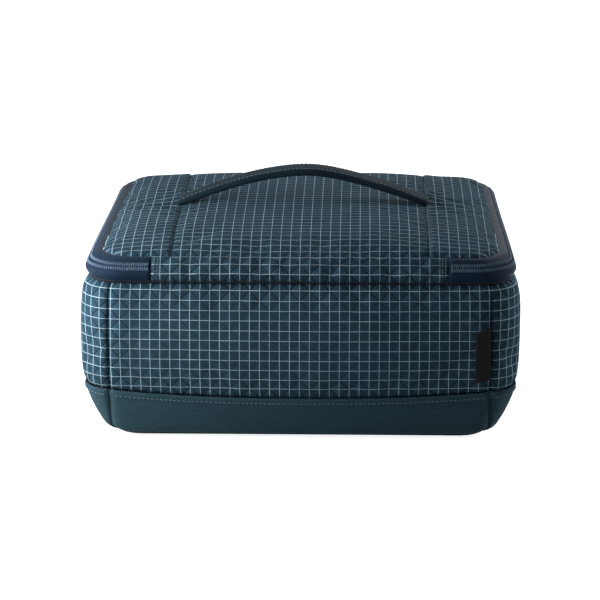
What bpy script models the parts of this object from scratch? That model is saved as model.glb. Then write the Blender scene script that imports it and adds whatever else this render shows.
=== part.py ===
"""Padded packing cube: a soft-walled box with a zip-round lid that hinges on a strip of cloth.

Metres, +Z up. The origin is the middle of the base, on the floor. -Y is the hinge side.
Every wall layer is a stretch of one outline, stepped up one profile, so all of them
follow the few sizes below.
"""

import math

import bmesh
import bpy
from mathutils import Matrix, Vector

# Overall form
WIDTH = 0.340  # X, across the widest part of the walls
DEPTH = 0.310  # Y, across the widest part of the walls
RIM_HEIGHT = 0.127  # floor to the rim, where the zip band starts
WIDEST_HEIGHT = 0.070
BULGE = 0.0075  # how far the wall falls in over the bulge's span
BULGE_SPAN = 0.057  # measured up or down from the widest part
ROLL_HEIGHT = 0.024  # below this the wall rolls under to the base
CORNER_RADIUS = 0.023  # upright corners at the widest part
LEAST_CORNER = 0.003
BASE_SEAM_ANGLE = math.radians(52)  # where the boot meets the base, round the roll
BOOT_HEIGHT = 0.038

# Zip band and lid
BAND_RISE = 0.019
BAND_LEAN = 0.0115  # how far the band leans in over its rise
LID_CORNER_RADIUS = 0.012
LID_CROWN = 0.011
CROWN_POWER = 4  # flat in the middle, rolled down near the edges
LID_SEAM_X = 0.097  # seams between the lid's middle and side panels
HINGE_HALF_LENGTH = 0.114

# Layers, from the outside in
SHELL = 0.0010
FOAM = 0.0040
LINING = 0.0006
GAP = 0.0003  # between pieces that touch
BASE_BOARD = 0.0030
BINDING = 0.0012
BINDING_WIDTH = 0.0052
LID_SLOPE_ROOM = 1.08  # the lid padding counts as this much thicker, because the crown slopes

# Zip
SLIT = 0.0014  # between the two tapes
COIL_RADIUS = 0.0009
COIL_SIDES = 6
SLIDER_LENGTH = 0.0090
SLIDER_PLATE = 0.0010
SLIDER_POST = 0.0008
SLIDER_SIDE_ROOM = 0.0002  # between a coil and the slider's flange
SLIDER_WIDTH = SLIT + 4 * COIL_RADIUS + 2 * SLIDER_SIDE_ROOM + 2 * SLIDER_POST
SLIDER_APART = 0.0060  # from the middle of the zip to each slider
PULL_LENGTH = 0.024
PULL_WIDTH = 0.0080
PULL_THICKNESS = 0.0016
PULL_HANG = math.radians(20)  # how far the pulls hang out from plumb
BRIDGE_HEIGHT = 0.0040  # bar's centre, above the outside of the tape
BRIDGE_BAR = 0.0012
EYE_RADIUS = 0.0022
EYE_BORE = 0.0012
EYE_LENGTH = 0.0044

# Handle
ANCHOR_LENGTH = 0.0060
ANCHOR_WIDTH = 0.0120
ANCHOR_HEIGHT = 0.0046
PIVOT_CLEAR = 0.0058  # swing axis, above the lid at the handle's seams
HANDLE_RISE = 0.023
GRIP_WIDTH = 0.018
GRIP_THICKNESS = 0.0065
NECK_WIDTH = 0.0080
NECK_THICKNESS = 0.0045
NECK_TAPER = 0.030
HANDLE_WALL = 0.0010

# Label
LABEL_WIDTH = 0.0115
LABEL_LOW = 0.051
LABEL_HIGH = 0.091
LABEL_THICKNESS = 0.0008

# Facets
CORNER_STEPS = 5
WALL_STEPS = 6
ROLL_STEPS = 4
LID_ROWS = 12
LID_COLUMNS = 8
HANDLE_STEPS = 14
HANDLE_SIDES = 12


def clear_scene():
    for obj in list(bpy.data.objects):
        bpy.data.objects.remove(obj)


# Materials


def material(name, colour, roughness, metallic=0.0):
    made = bpy.data.materials.new(name)
    made.use_nodes = True
    shader = made.node_tree.nodes["Principled BSDF"]
    shader.inputs["Base Color"].default_value = (*colour, 1.0)
    shader.inputs["Roughness"].default_value = roughness
    shader.inputs["Metallic"].default_value = metallic
    return made


def make_materials():
    return {
        "grid_cloth": material("grid_cloth", (0.043, 0.085, 0.113), 0.75),
        "boot_cloth": material("boot_cloth", (0.030, 0.058, 0.070), 0.85),
        "zip_tape": material("zip_tape", (0.018, 0.030, 0.055), 0.45),
        "zip_coil": material("zip_coil", (0.016, 0.026, 0.048), 0.40),
        "foam": material("foam", (0.060, 0.062, 0.065), 0.90),
        "lining_cloth": material("lining_cloth", (0.150, 0.165, 0.175), 0.80),
        "binding_tape": material("binding_tape", (0.012, 0.014, 0.017), 0.80),
        "base_board": material("base_board", (0.030, 0.030, 0.030), 0.70),
        "handle_cloth": material("handle_cloth", (0.020, 0.036, 0.046), 0.70),
        "label_cloth": material("label_cloth", (0.008, 0.008, 0.009), 0.70),
        "slider_metal": material("slider_metal", (0.050, 0.055, 0.062), 0.35, 1.0),
        "pull_rubber": material("pull_rubber", (0.018, 0.028, 0.046), 0.60),
    }


# The profile: where each height stands on the outside, and which way it faces


def station(outset, height, normal_out, normal_up, radius):
    return {
        "outset": outset,
        "height": height,
        "out": normal_out,
        "up": normal_up,
        "radius": radius,
    }


def wall_at(height):
    """The bulged wall at one height."""
    share = (height - WIDEST_HEIGHT) / BULGE_SPAN
    outset = -BULGE * share**2
    slope = -2 * BULGE * share / BULGE_SPAN
    facing = Vector((1.0, -slope)).normalized()
    return station(outset, height, facing.x, facing.y, CORNER_RADIUS + outset)


def roll_at(angle):
    """The roll under the wall: angle 0 is level with its centre, 90 degrees is on the floor."""
    turn = wall_at(ROLL_HEIGHT)
    radius = ROLL_HEIGHT / (1 + turn["up"])
    centre = turn["outset"] - radius * turn["out"]
    outset = centre + radius * math.cos(angle)
    height = radius * (1 - math.sin(angle))
    corner = max(CORNER_RADIUS + outset, LEAST_CORNER)
    return station(outset, height, math.cos(angle), -math.sin(angle), corner)


def roll_top_angle():
    return math.asin(-wall_at(ROLL_HEIGHT)["up"])


def band_length():
    return math.hypot(BAND_RISE, BAND_LEAN)


def band_at(along):
    """The zip band, this far up from the rim."""
    rim = wall_at(RIM_HEIGHT)
    share = along / band_length()
    return station(
        rim["outset"] - BAND_LEAN * share,
        RIM_HEIGHT + BAND_RISE * share,
        BAND_RISE / band_length(),
        BAND_LEAN / band_length(),
        rim["radius"] + (LID_CORNER_RADIUS - rim["radius"]) * share,
    )


def sunk(place, depth):
    """The same station on a layer this deep under the outside."""
    return station(
        place["outset"] - depth * place["out"],
        place["height"] - depth * place["up"],
        place["out"],
        place["up"],
        max(place["radius"] - depth * place["out"], GAP),
    )


def spread(low, high, steps):
    return [low + (high - low) * i / steps for i in range(steps + 1)]


def wall_stations(low, high):
    return [wall_at(height) for height in spread(low, high, WALL_STEPS)]


def roll_stations(low_angle):
    """From this far round the roll up to where the wall starts."""
    return [roll_at(angle) for angle in spread(low_angle, roll_top_angle(), ROLL_STEPS)]


def seam_angle_step():
    """Half a seam's gap, as an angle round the roll."""
    return GAP / 2 / (ROLL_HEIGHT / (1 + wall_at(ROLL_HEIGHT)["up"]))


# The outline: which stretch of the plan a layer follows, counter-clockwise from above


def half_sizes(place):
    return WIDTH / 2 + place["outset"], DEPTH / 2 + place["outset"]


def corner(place, side_x, side_y, start, trim_start=0.0, trim_end=0.0):
    """A quarter turn round one corner, from the start angle, in degrees."""
    half_x, half_y = half_sizes(place)
    radius = place["radius"]
    centre_x = side_x * (half_x - radius)
    centre_y = side_y * (half_y - radius)
    first = math.radians(start) + trim_start / radius
    last = math.radians(start + 90) - trim_end / radius
    return [
        (centre_x + radius * math.cos(a), centre_y + radius * math.sin(a))
        for a in spread(first, last, CORNER_STEPS)
    ]


def front_stretch(place):
    half_x, half_y = half_sizes(place)
    end = half_x - place["radius"] - GAP / 2
    return [(-end, -half_y), (end, -half_y)]


def back_stretch(place):
    return [(-x, -y) for x, y in front_stretch(place)]


def right_stretch(place):
    trim = GAP / 2
    return corner(place, 1, -1, -90, trim_start=trim) + corner(
        place, 1, 1, 0, trim_end=trim
    )


def left_stretch(place):
    return [(-x, -y) for x, y in right_stretch(place)]


def hinge_stretch(place):
    half_y = half_sizes(place)[1]
    return [(-HINGE_HALF_LENGTH, -half_y), (HINGE_HALF_LENGTH, -half_y)]


def zip_stretch(place):
    """From one end of the hinge strip right round to the other."""
    start = HINGE_HALF_LENGTH + GAP
    half_y = half_sizes(place)[1]
    return [(start, -half_y), *corners_round(place), (-start, -half_y)]


def corners_round(place):
    return [
        *corner(place, 1, -1, -90),
        *corner(place, 1, 1, 0),
        *corner(place, -1, 1, 90),
        *corner(place, -1, -1, 180),
    ]


def label_stretch(place):
    half_x, half_y = half_sizes(place)
    edge = half_x - place["radius"] - GAP / 2
    return [(edge - LABEL_WIDTH, -half_y), (edge, -half_y)]


# Building meshes


def finish_object(name, mesh_data, look):
    mesh = bpy.data.meshes.new(name)
    mesh_data.to_mesh(mesh)
    mesh_data.free()
    mesh.shade_smooth()
    mesh.set_sharp_from_angle(angle=math.radians(35))
    mesh.materials.append(look)
    obj = bpy.data.objects.new(name, mesh)
    bpy.context.scene.collection.objects.link(obj)
    return obj


def thicken(obj, thickness):
    """Gives a sheet its thickness on the inner side."""
    solid = obj.modifiers.new("thickness", "SOLIDIFY")
    solid.thickness = thickness
    solid.offset = -1.0
    solid.use_even_offset = True
    solid.use_rim = True
    return obj


def add_rows(bm, rows, closed):
    """Faces between rows of points, each row one step above the last."""
    grid = [[bm.verts.new(point) for point in row] for row in rows]
    count = len(grid[0])
    for lower, upper in zip(grid, grid[1:]):
        for i in range(count if closed else count - 1):
            j = (i + 1) % count
            bm.faces.new((lower[i], lower[j], upper[j], upper[i]))
    return grid


def sweep(name, look, section_rows, closed):
    """A closed section carried along a stretch: each row is one point of the section."""
    bm = bmesh.new()
    grid = add_rows(bm, [*section_rows, section_rows[0]], closed)
    if not closed:
        bm.faces.new([row[0] for row in reversed(grid[:-1])])
        bm.faces.new([row[-1] for row in grid[:-1]])
    bmesh.ops.remove_doubles(bm, verts=bm.verts, dist=GAP / 100)
    bmesh.ops.recalc_face_normals(bm, faces=bm.faces)
    return finish_object(name, bm, look)


def outline_row(stretch, place):
    return [(x, y, place["height"]) for x, y in stretch(place)]


def layer(name, look, stretch, stations, depth, thickness, closed=False):
    """One sheet of the wall: up the profile on its outside, and down again on its inside."""
    outside = [outline_row(stretch, sunk(place, depth)) for place in stations]
    inside = [outline_row(stretch, sunk(place, depth + thickness)) for place in stations]
    return sweep(name, look, [*outside, *reversed(inside)], closed)


def bead(name, look, stretch, centre, radius, closed=False):
    """A round cord along a stretch of the outline."""
    rows = []
    for i in range(COIL_SIDES):
        turn = 2 * math.pi * i / COIL_SIDES
        out = radius * math.cos(turn)
        place = station(
            centre["outset"] + out,
            centre["height"] + radius * math.sin(turn),
            1.0,
            0.0,
            max(centre["radius"] + out, GAP),
        )
        rows.append(outline_row(stretch, place))
    return sweep(name, look, rows, closed)


def plate(name, look, place, low, thickness):
    """A flat plate with the plan of one station."""
    bm = bmesh.new()
    points = [bm.verts.new((x, y, low + thickness)) for x, y in corners_round(place)]
    bm.faces.new(points)
    return thicken(finish_object(name, bm, look), thickness)


def block(name, size, centre, look, bevel=0.0):
    """A box from its centre and full sizes, with softened edges."""
    bm = bmesh.new()
    bmesh.ops.create_cube(bm, size=1.0)
    bmesh.ops.scale(bm, vec=size, verts=bm.verts)
    if bevel:
        bmesh.ops.bevel(
            bm, geom=bm.edges[:], offset=bevel, segments=1, profile=0.5, affect="EDGES"
        )
    bmesh.ops.translate(bm, vec=centre, verts=bm.verts)
    return finish_object(name, bm, look)


def join(base, *others):
    """Unites separate blocks into one body."""
    for i, other in enumerate(others):
        union = base.modifiers.new(f"union_{i}", "BOOLEAN")
        union.operation = "UNION"
        union.solver = "EXACT"
        union.object = other
        other.hide_render = True
        other.display_type = "WIRE"
        other.parent = base
    return base


# Body: outer cloth, boot, padding and lining


def build_walls(looks):
    stretches = {
        "front": front_stretch,
        "back": back_stretch,
        "left": left_stretch,
        "right": right_stretch,
    }
    seam = BASE_SEAM_ANGLE - seam_angle_step()
    boot = roll_stations(seam) + wall_stations(ROLL_HEIGHT, BOOT_HEIGHT)[1:]
    upper = wall_stations(BOOT_HEIGHT + GAP, RIM_HEIGHT - GAP)
    foam_depth = SHELL + GAP
    padding_top = RIM_HEIGHT - BINDING - 2 * GAP
    padding = roll_stations(BASE_SEAM_ANGLE) + wall_stations(ROLL_HEIGHT, padding_top)[1:]
    for side, stretch in stretches.items():
        layer(f"{side}_wall", looks["grid_cloth"], stretch, upper, 0.0, SHELL)
        layer(f"{side}_boot", looks["boot_cloth"], stretch, boot, 0.0, SHELL)
        layer(f"{side}_padding", looks["foam"], stretch, padding, foam_depth, FOAM)
    layer(
        "wall_lining",
        looks["lining_cloth"],
        corners_round,
        padding,
        foam_depth + FOAM + GAP,
        LINING,
        closed=True,
    )


def build_base(looks):
    seam = BASE_SEAM_ANGLE + seam_angle_step()
    bm = bmesh.new()
    rows = []
    for angle in spread(math.pi / 2, seam, ROLL_STEPS):
        place = roll_at(angle)
        rows.append([(x, y, place["height"]) for x, y in corners_round(place)])
    grid = add_rows(bm, rows, closed=True)
    bm.faces.new(list(reversed(grid[0])))
    thicken(finish_object("base_panel", bm, looks["boot_cloth"]), SHELL)

    board_low = SHELL + GAP
    edge = sunk(roll_at(math.pi / 2), 0.0)
    plate("base_board", looks["base_board"], edge, board_low, BASE_BOARD)
    floor_low = board_low + BASE_BOARD + GAP
    plate("floor_lining", looks["lining_cloth"], edge, floor_low, LINING)

    lining_depth = SHELL + GAP + FOAM + GAP + LINING
    lining_foot = sunk(roll_at(BASE_SEAM_ANGLE), lining_depth)
    binding = station(
        lining_foot["outset"] - BINDING,
        floor_low + LINING + GAP + BINDING,
        1.0,
        0.0,
        lining_foot["radius"],
    )
    bead("floor_binding", looks["binding_tape"], corners_round, binding, BINDING, closed=True)


# Zip: two tapes, two coils, two sliders with pulls


def band_stretch_stations(low, high):
    return [band_at(along) for along in spread(low, high, 2)]


def build_zip(looks):
    middle = band_length() / 2
    edge = SLIT / 2
    tape = looks["zip_tape"]
    lower = band_stretch_stations(GAP / 2, middle - edge)
    upper = band_stretch_stations(middle + edge, band_length())
    layer("lower_zip_tape", tape, zip_stretch, lower, 0.0, SHELL)
    layer("upper_zip_tape", tape, zip_stretch, upper, 0.0, SHELL)
    depth = SHELL + GAP + COIL_RADIUS
    for name, side in (("lower_zip_coil", -1), ("upper_zip_coil", 1)):
        centre = sunk(band_at(middle + side * (edge + COIL_RADIUS)), depth)
        bead(name, looks["zip_coil"], zip_stretch, centre, COIL_RADIUS)
    for name, side in (("left", -1), ("right", 1)):
        build_slider(name, side, looks)


def slider_frame(side):
    """Where a slider sits: X along the zip, Y out of the tape, Z up the tape."""
    place = band_at(band_length() / 2)
    lean = math.atan2(BAND_LEAN, BAND_RISE)
    home = Vector((side * SLIDER_APART, DEPTH / 2 + place["outset"], place["height"]))
    return Matrix.Translation(home) @ Matrix.Rotation(lean, 4, "X")


def build_slider(name, side, looks):
    metal = looks["slider_metal"]
    coil_back = SHELL + GAP + 2 * COIL_RADIUS
    outer_mid = GAP + SLIDER_PLATE / 2
    inner_mid = -(coil_back + GAP + SLIDER_PLATE / 2)
    flange = SLIDER_POST
    flange_z = SLIDER_WIDTH / 2 - flange / 2
    flange_top = -(SHELL + 2 * GAP)
    leg_x = SLIDER_LENGTH / 2 - BRIDGE_BAR
    plate_size = (SLIDER_LENGTH, SLIDER_PLATE, SLIDER_WIDTH)
    label = f"zip_slider_{name}"
    body = block(label, plate_size, (0, outer_mid, 0), metal, SLIDER_PLATE / 4)
    post_high = outer_mid
    post_size = (SLIDER_LENGTH / 3, post_high - inner_mid, SLIDER_POST)
    post = block(f"{label}_post", post_size, (0, (post_high + inner_mid) / 2, 0), metal)
    inner = block(f"{label}_inner", plate_size, (0, inner_mid, 0), metal, SLIDER_PLATE / 4)
    pieces = [post, inner]
    for z in (-flange_z, flange_z):
        size = (SLIDER_LENGTH * 0.9, flange_top - inner_mid, flange)
        centre = (0, (flange_top + inner_mid) / 2, z)
        pieces.append(block(f"{label}_flange", size, centre, metal))
    for x in (-leg_x, leg_x):
        size = (BRIDGE_BAR, BRIDGE_HEIGHT + BRIDGE_BAR / 2 - outer_mid, BRIDGE_BAR * 1.5)
        centre = (x, (BRIDGE_HEIGHT + BRIDGE_BAR / 2 + outer_mid) / 2, 0)
        pieces.append(block(f"{label}_leg", size, centre, metal))
    bar_size = (2 * leg_x + BRIDGE_BAR / 2, BRIDGE_BAR, BRIDGE_BAR)
    pieces.append(block(f"{label}_bar", bar_size, (0, BRIDGE_HEIGHT, 0), metal))
    join(body, *pieces)
    body.matrix_world = slider_frame(side)
    build_pull(name, side, looks)


def build_pull(name, side, looks):
    """A moulded tab whose eye goes round the slider's bar; it hangs against the wall."""
    rubber = looks["pull_rubber"]
    label = f"zip_pull_{name}"
    tab_size = (PULL_WIDTH, PULL_THICKNESS, PULL_LENGTH - EYE_RADIUS * 2)
    tab_mid = -(EYE_RADIUS * 2 + tab_size[2] / 2)
    tab = block(label, tab_size, (0, 0, tab_mid), rubber, PULL_THICKNESS / 4)
    neck_size = (EYE_LENGTH, PULL_THICKNESS, EYE_RADIUS * 2)
    neck = block(f"{label}_neck", neck_size, (0, 0, -EYE_RADIUS * 1.8), rubber)
    eye = ring(f"{label}_eye", rubber)
    join(tab, neck, eye)
    hang = slider_frame(side) @ Vector((0, BRIDGE_HEIGHT, 0))
    tab.matrix_world = Matrix.Translation(hang) @ Matrix.Rotation(PULL_HANG, 4, "X")


def ring(name, look):
    """A short tube along X."""
    loops = []
    for x, radius in (
        (-EYE_LENGTH / 2, EYE_BORE),
        (-EYE_LENGTH / 2, EYE_RADIUS),
        (EYE_LENGTH / 2, EYE_RADIUS),
        (EYE_LENGTH / 2, EYE_BORE),
    ):
        turns = spread(0, 2 * math.pi, HANDLE_SIDES)[:-1]
        loops.append([(x, radius * math.cos(a), radius * math.sin(a)) for a in turns])
    return sweep(name, look, loops, closed=True)


# Hinge strip and the bindings that finish the seams inside


def build_hinge(looks):
    whole = band_stretch_stations(GAP / 2, band_length())
    layer("hinge_strip", looks["grid_cloth"], hinge_stretch, whole, 0.0, SHELL)
    depth = SHELL + GAP
    low = 2 * GAP + BINDING_WIDTH + GAP
    high = band_length() - low - SHELL
    backing = band_stretch_stations(low, high)
    layer("hinge_lining", looks["lining_cloth"], hinge_stretch, backing, depth, LINING)
    rim = band_stretch_stations(2 * GAP, 2 * GAP + BINDING_WIDTH)
    layer("rim_binding", looks["binding_tape"], corners_round, rim, depth, BINDING, closed=True)
    top = band_stretch_stations(high + GAP, high + GAP + BINDING_WIDTH)
    layer("lid_binding", looks["binding_tape"], corners_round, top, depth, BINDING, closed=True)


# Lid: crowned panels, padding and lining


def lid_edge():
    """The lid panel's plan, one tape's thickness inside the zip band's top."""
    top = band_at(band_length())
    return station(
        top["outset"] - SHELL - GAP, top["height"], 0.0, 1.0, LID_CORNER_RADIUS
    )


def lid_height(x, y):
    half_x, half_y = half_sizes(lid_edge())
    across = 1 - min(abs(x) / half_x, 1.0) ** CROWN_POWER
    along = 1 - min(abs(y) / half_y, 1.0) ** CROWN_POWER
    return lid_edge()["height"] + LID_CROWN * across * along


def lid_columns(low, high, shrink):
    """X of each column of the lid and how far it reaches in Y, with the corners rounded."""
    half_x, half_y = half_sizes(lid_edge())
    half_x -= shrink
    half_y -= shrink
    radius = LID_CORNER_RADIUS
    turns = [math.radians(90) * i / CORNER_STEPS for i in range(CORNER_STEPS + 1)]
    edges = [
        (half_x - radius + radius * math.cos(a), half_y - radius + radius * math.sin(a))
        for a in turns
    ]
    inner = half_x - radius
    middle_low = max(low, -inner)
    middle_high = min(high, inner)
    steps = max(2, round(LID_COLUMNS * (middle_high - middle_low) / (2 * inner)))
    columns = [(x, half_y) for x in spread(middle_low, middle_high, steps)]
    if low <= -half_x:
        columns = [(-x, y) for x, y in edges[:-1]] + columns
    if high >= half_x:
        columns = columns + list(reversed(edges[:-1]))
    return columns


def lid_layer(name, look, low, high, shrink, drop, thickness):
    """A sheet of the lid between two X values, this far below the top."""
    bm = bmesh.new()
    columns = lid_columns(low, high, shrink)
    rows = []
    for share in spread(-1.0, 1.0, LID_ROWS):
        row = [(x, share * reach, lid_height(x, share * reach) - drop) for x, reach in columns]
        rows.append(row)
    add_rows(bm, rows, closed=False)
    return thicken(finish_object(name, bm, look), thickness)


def build_lid(looks):
    grid = looks["grid_cloth"]
    seam = LID_SEAM_X
    lid_layer("lid_middle_panel", grid, -seam + GAP / 2, seam - GAP / 2, 0.0, 0.0, SHELL)
    lid_layer("lid_left_panel", grid, -WIDTH, -seam - GAP / 2, 0.0, 0.0, SHELL)
    lid_layer("lid_right_panel", grid, seam + GAP / 2, WIDTH, 0.0, 0.0, SHELL)
    inside = BINDING + SHELL + 2 * GAP
    drop = SHELL + 2 * GAP
    lid_layer("lid_padding", looks["foam"], -WIDTH, WIDTH, inside, drop, FOAM)
    drop += FOAM * LID_SLOPE_ROOM + GAP
    lid_layer("lid_lining", looks["lining_cloth"], -WIDTH, WIDTH, inside, drop, LINING)


# Handle


def handle_half_span():
    return LID_SEAM_X - ANCHOR_LENGTH - GAP


def pivot_height():
    return lid_height(LID_SEAM_X, 0.0) + PIVOT_CLEAR


def eased(share):
    share = min(max(share, 0.0), 1.0)
    return share * share * (3 - 2 * share)


def handle_section(x, wall):
    """The strap's section where it crosses one X, with its rounded edges, less a wall."""
    reach = handle_half_span()
    fullness = eased((reach - abs(x)) / NECK_TAPER)
    width = NECK_WIDTH + (GRIP_WIDTH - NECK_WIDTH) * fullness - 2 * wall
    thickness = NECK_THICKNESS + (GRIP_THICKNESS - NECK_THICKNESS) * fullness - 2 * wall
    height = pivot_height() + HANDLE_RISE * (1 - (x / reach) ** 2)
    round_off = thickness / 2
    flat = width / 2 - round_off
    points = []
    for i in range(HANDLE_SIDES):
        turn = 2 * math.pi * (i + 0.5) / HANDLE_SIDES
        side = flat if math.cos(turn) > 0 else -flat
        points.append((x, side + round_off * math.cos(turn), height + round_off * math.sin(turn)))
    return points


def handle_tube(wall):
    reach = handle_half_span()
    return [handle_section(x, wall) for x in spread(-reach, reach, HANDLE_STEPS)]


def build_handle(looks):
    tube = [*handle_tube(0.0), *reversed(handle_tube(HANDLE_WALL))]
    cover = sweep("handle_cover", looks["handle_cloth"], tube, closed=True)

    bm = bmesh.new()
    grid = add_rows(bm, handle_tube(HANDLE_WALL + GAP), closed=True)
    bm.faces.new(grid[0])
    bm.faces.new(grid[-1])
    bmesh.ops.recalc_face_normals(bm, faces=bm.faces)
    core = finish_object("handle_core", bm, looks["foam"])

    swing = bpy.data.objects.new("handle_swing_axis", None)
    swing.location = (0, 0, pivot_height())
    bpy.context.scene.collection.objects.link(swing)
    for piece in (cover, core):
        piece.parent = swing
        piece.matrix_parent_inverse = Matrix.Translation((0, 0, -pivot_height()))

    size = (ANCHOR_LENGTH, ANCHOR_WIDTH, ANCHOR_HEIGHT)
    for name, side in (("left", -1), ("right", 1)):
        x = LID_SEAM_X - ANCHOR_LENGTH / 2
        low = lid_height(LID_SEAM_X - ANCHOR_LENGTH, 0.0) + GAP
        centre = (side * x, 0, low + ANCHOR_HEIGHT / 2)
        block(f"handle_anchor_{name}", size, centre, looks["handle_cloth"], ANCHOR_HEIGHT / 4)


def build_label(looks):
    stations = [wall_at(height) for height in spread(LABEL_LOW, LABEL_HIGH, 3)]
    depth = -(GAP + LABEL_THICKNESS)
    layer("side_label", looks["label_cloth"], label_stretch, stations, depth, LABEL_THICKNESS)


def main():
    clear_scene()
    looks = make_materials()
    build_walls(looks)
    build_base(looks)
    build_zip(looks)
    build_hinge(looks)
    build_lid(looks)
    build_handle(looks)
    build_label(looks)


main()
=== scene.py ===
"""Looks of the padded packing cube: cloth panels, stitching, zip, handle, lining and stage.

Metres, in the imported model's own frame. -Y is the hinge side, which faces the camera.
"""

import bisect
import math

import bmesh
import bpy
from bpy.props import FloatProperty, FloatVectorProperty, PointerProperty
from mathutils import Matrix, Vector, noise


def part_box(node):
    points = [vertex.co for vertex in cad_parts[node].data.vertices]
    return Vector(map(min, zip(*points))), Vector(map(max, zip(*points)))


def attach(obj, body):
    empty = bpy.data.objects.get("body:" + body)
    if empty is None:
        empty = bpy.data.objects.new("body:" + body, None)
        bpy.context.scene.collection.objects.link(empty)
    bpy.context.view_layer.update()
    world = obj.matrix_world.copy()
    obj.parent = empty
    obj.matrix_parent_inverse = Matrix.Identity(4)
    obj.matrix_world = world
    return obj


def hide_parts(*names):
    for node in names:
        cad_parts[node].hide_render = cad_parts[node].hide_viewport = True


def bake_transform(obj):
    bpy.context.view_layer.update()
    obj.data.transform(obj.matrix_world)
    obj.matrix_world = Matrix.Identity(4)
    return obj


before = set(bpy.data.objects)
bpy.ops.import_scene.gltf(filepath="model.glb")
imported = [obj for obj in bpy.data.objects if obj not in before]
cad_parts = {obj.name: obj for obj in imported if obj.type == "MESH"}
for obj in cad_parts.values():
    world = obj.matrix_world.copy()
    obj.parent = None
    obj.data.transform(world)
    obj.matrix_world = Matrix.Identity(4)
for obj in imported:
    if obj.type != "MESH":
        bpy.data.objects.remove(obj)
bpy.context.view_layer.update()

bl_info = {
    "name": "Packing cube",
    "version": (1, 0, 0),
    "blender": (4, 5, 0),
    "location": "View3D > Sidebar > Packing cube",
    "description": "Builds the soft pieces, finishes and stage of a padded packing cube",
    "category": "Add Mesh",
}

# Form of the body
BASE_SEAM = math.radians(52)
CORNER_KEEP = 0.35
CORNER_STEPS = 10
SMALLEST_RADIUS = 0.0008
WALL_STEP = 0.0033
BOOT_STEP = 0.0040

# Seams draw the cloth in: how deep, and over how far
UPRIGHT_DIP = (0.0015, 0.0022)
WALL_FOOT_DIP = (0.0014, 0.0030)
BOOT_FOOT_DIP = (0.0016, 0.0035)
BASE_DIP = (0.0012, 0.0030)
BAND_TOP_DIP = (0.0032, 0.0020)
LID_SEAM_DIP = (0.0003, 0.0008)
LID_EDGE_DIP = (0.0036, 0.0028)
WALL_RIM_REACH = 0.0038
BAND_RIM_REACH = 0.0026

# Cloth simulation: pressure, slack, and the most that a point may move
WALL_SWELL = (1.2, 0.005, 0.0015)
STRIP_SWELL = (1.5, 0.008, 0.0018)
LID_SWELL = (1.0, 0.003, 0.0020)
SWELL_FRAMES = 20

# Boot stitching, from the panel's ends and from its top edge
TOPSTITCH_END = 0.012
TOPSTITCH_DROP = 0.0042

# Zip band
BAND_PUFF = 0.0034
FAR_PUFF = 0.25
CHANNEL_DEPTH = 0.0010
CHANNEL_REACH = 0.0032
ZIP_SLIT = 0.0002
TAPE_THICK = 0.0008
TEETH_START = 0.002
TOOTH_INSET = 0.0018
TOOTH_LIFT = 0.0001
TOOTH_STEP = 0.0017
TOOTH_LENGTH = 0.0036
TOOTH_RADIUS = 0.00075
TOOTH_SLANT = 0.35

# Hinge strip
STRIP_LINING_FROM = 0.28
STRIP_LINING_SHARE = 0.42
END_STITCH_INSETS = (0.0022, 0.0046)
END_STITCH = 0.0021

# Lid
LID_LIP = 0.0006
SEAM_FOLD = 0.0007
SEAM_STITCH_INSET = 0.0026
LID_LINING_INSET = 0.0042

# Bindings
RIM_BINDING_WIDTH = 0.0042
LID_BINDING_WIDTH = 0.0052
LID_BINDING_DROP = 0.0068

# Handle: the grip runs up to GRIP_HALF, and the ends from there to the seams
GRIP_HALF = 0.047
STRAP_END = 0.0030
STRAP_TAPER = 0.034
STRAP_SQUARE = 0.55
STRAP_GIRTH = 0.044
STRAP_STITCH = 0.0026
STRAP_STITCH_STEP = 0.0034
STRAP_STITCH_INSET = 0.0032

# Stage. Each lamp has its place, what it points at, its two sides and its power
LAMPS = {
    "key_softbox": ((-0.40, -0.27, 0.24), (0, 0, 0.09), (0.25, 0.25), 3.6),
    "side_softbox": ((-1.0, 0.10, 0.45), (0, 0, 0.09), (0.5, 0.6), 9),
    "top_softbox": ((0.45, 1.0, 0.8), (0, 0, 0.12), (1.4, 0.8), 8.6),
    "rim_softbox": ((1.1, 0.10, 0.35), (0, 0, 0.09), (0.5, 0.5), 7.8),
}
FLOOR_REACH = 1.4
FLOOR_DROP = 0.0004
FLOOR_GREY = 0.62
FLOOR_GLOW = 0.88
WORLD_LIGHT = 0.08
WORLD_SEEN = 1.05
CAMERA_SENSOR = 36.0
CAMERA_LENS = 168.0
CAMERA_AIM = (0.0004, -0.155, 0.1148)
CAMERA_PITCH = math.radians(15.6)
CAMERA_TURN = math.radians(-1.3)
CAMERA_AWAY = 2.14


def size_of(node, axis):
    low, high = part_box(node)
    return high[axis] - low[axis]


def length(name, description, default):
    return FloatProperty(name=name, description=description, default=default, unit="LENGTH")


def colour(name, description, default):
    return FloatVectorProperty(
        name=name, description=description, default=default, subtype="COLOR", min=0, max=1
    )


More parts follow.
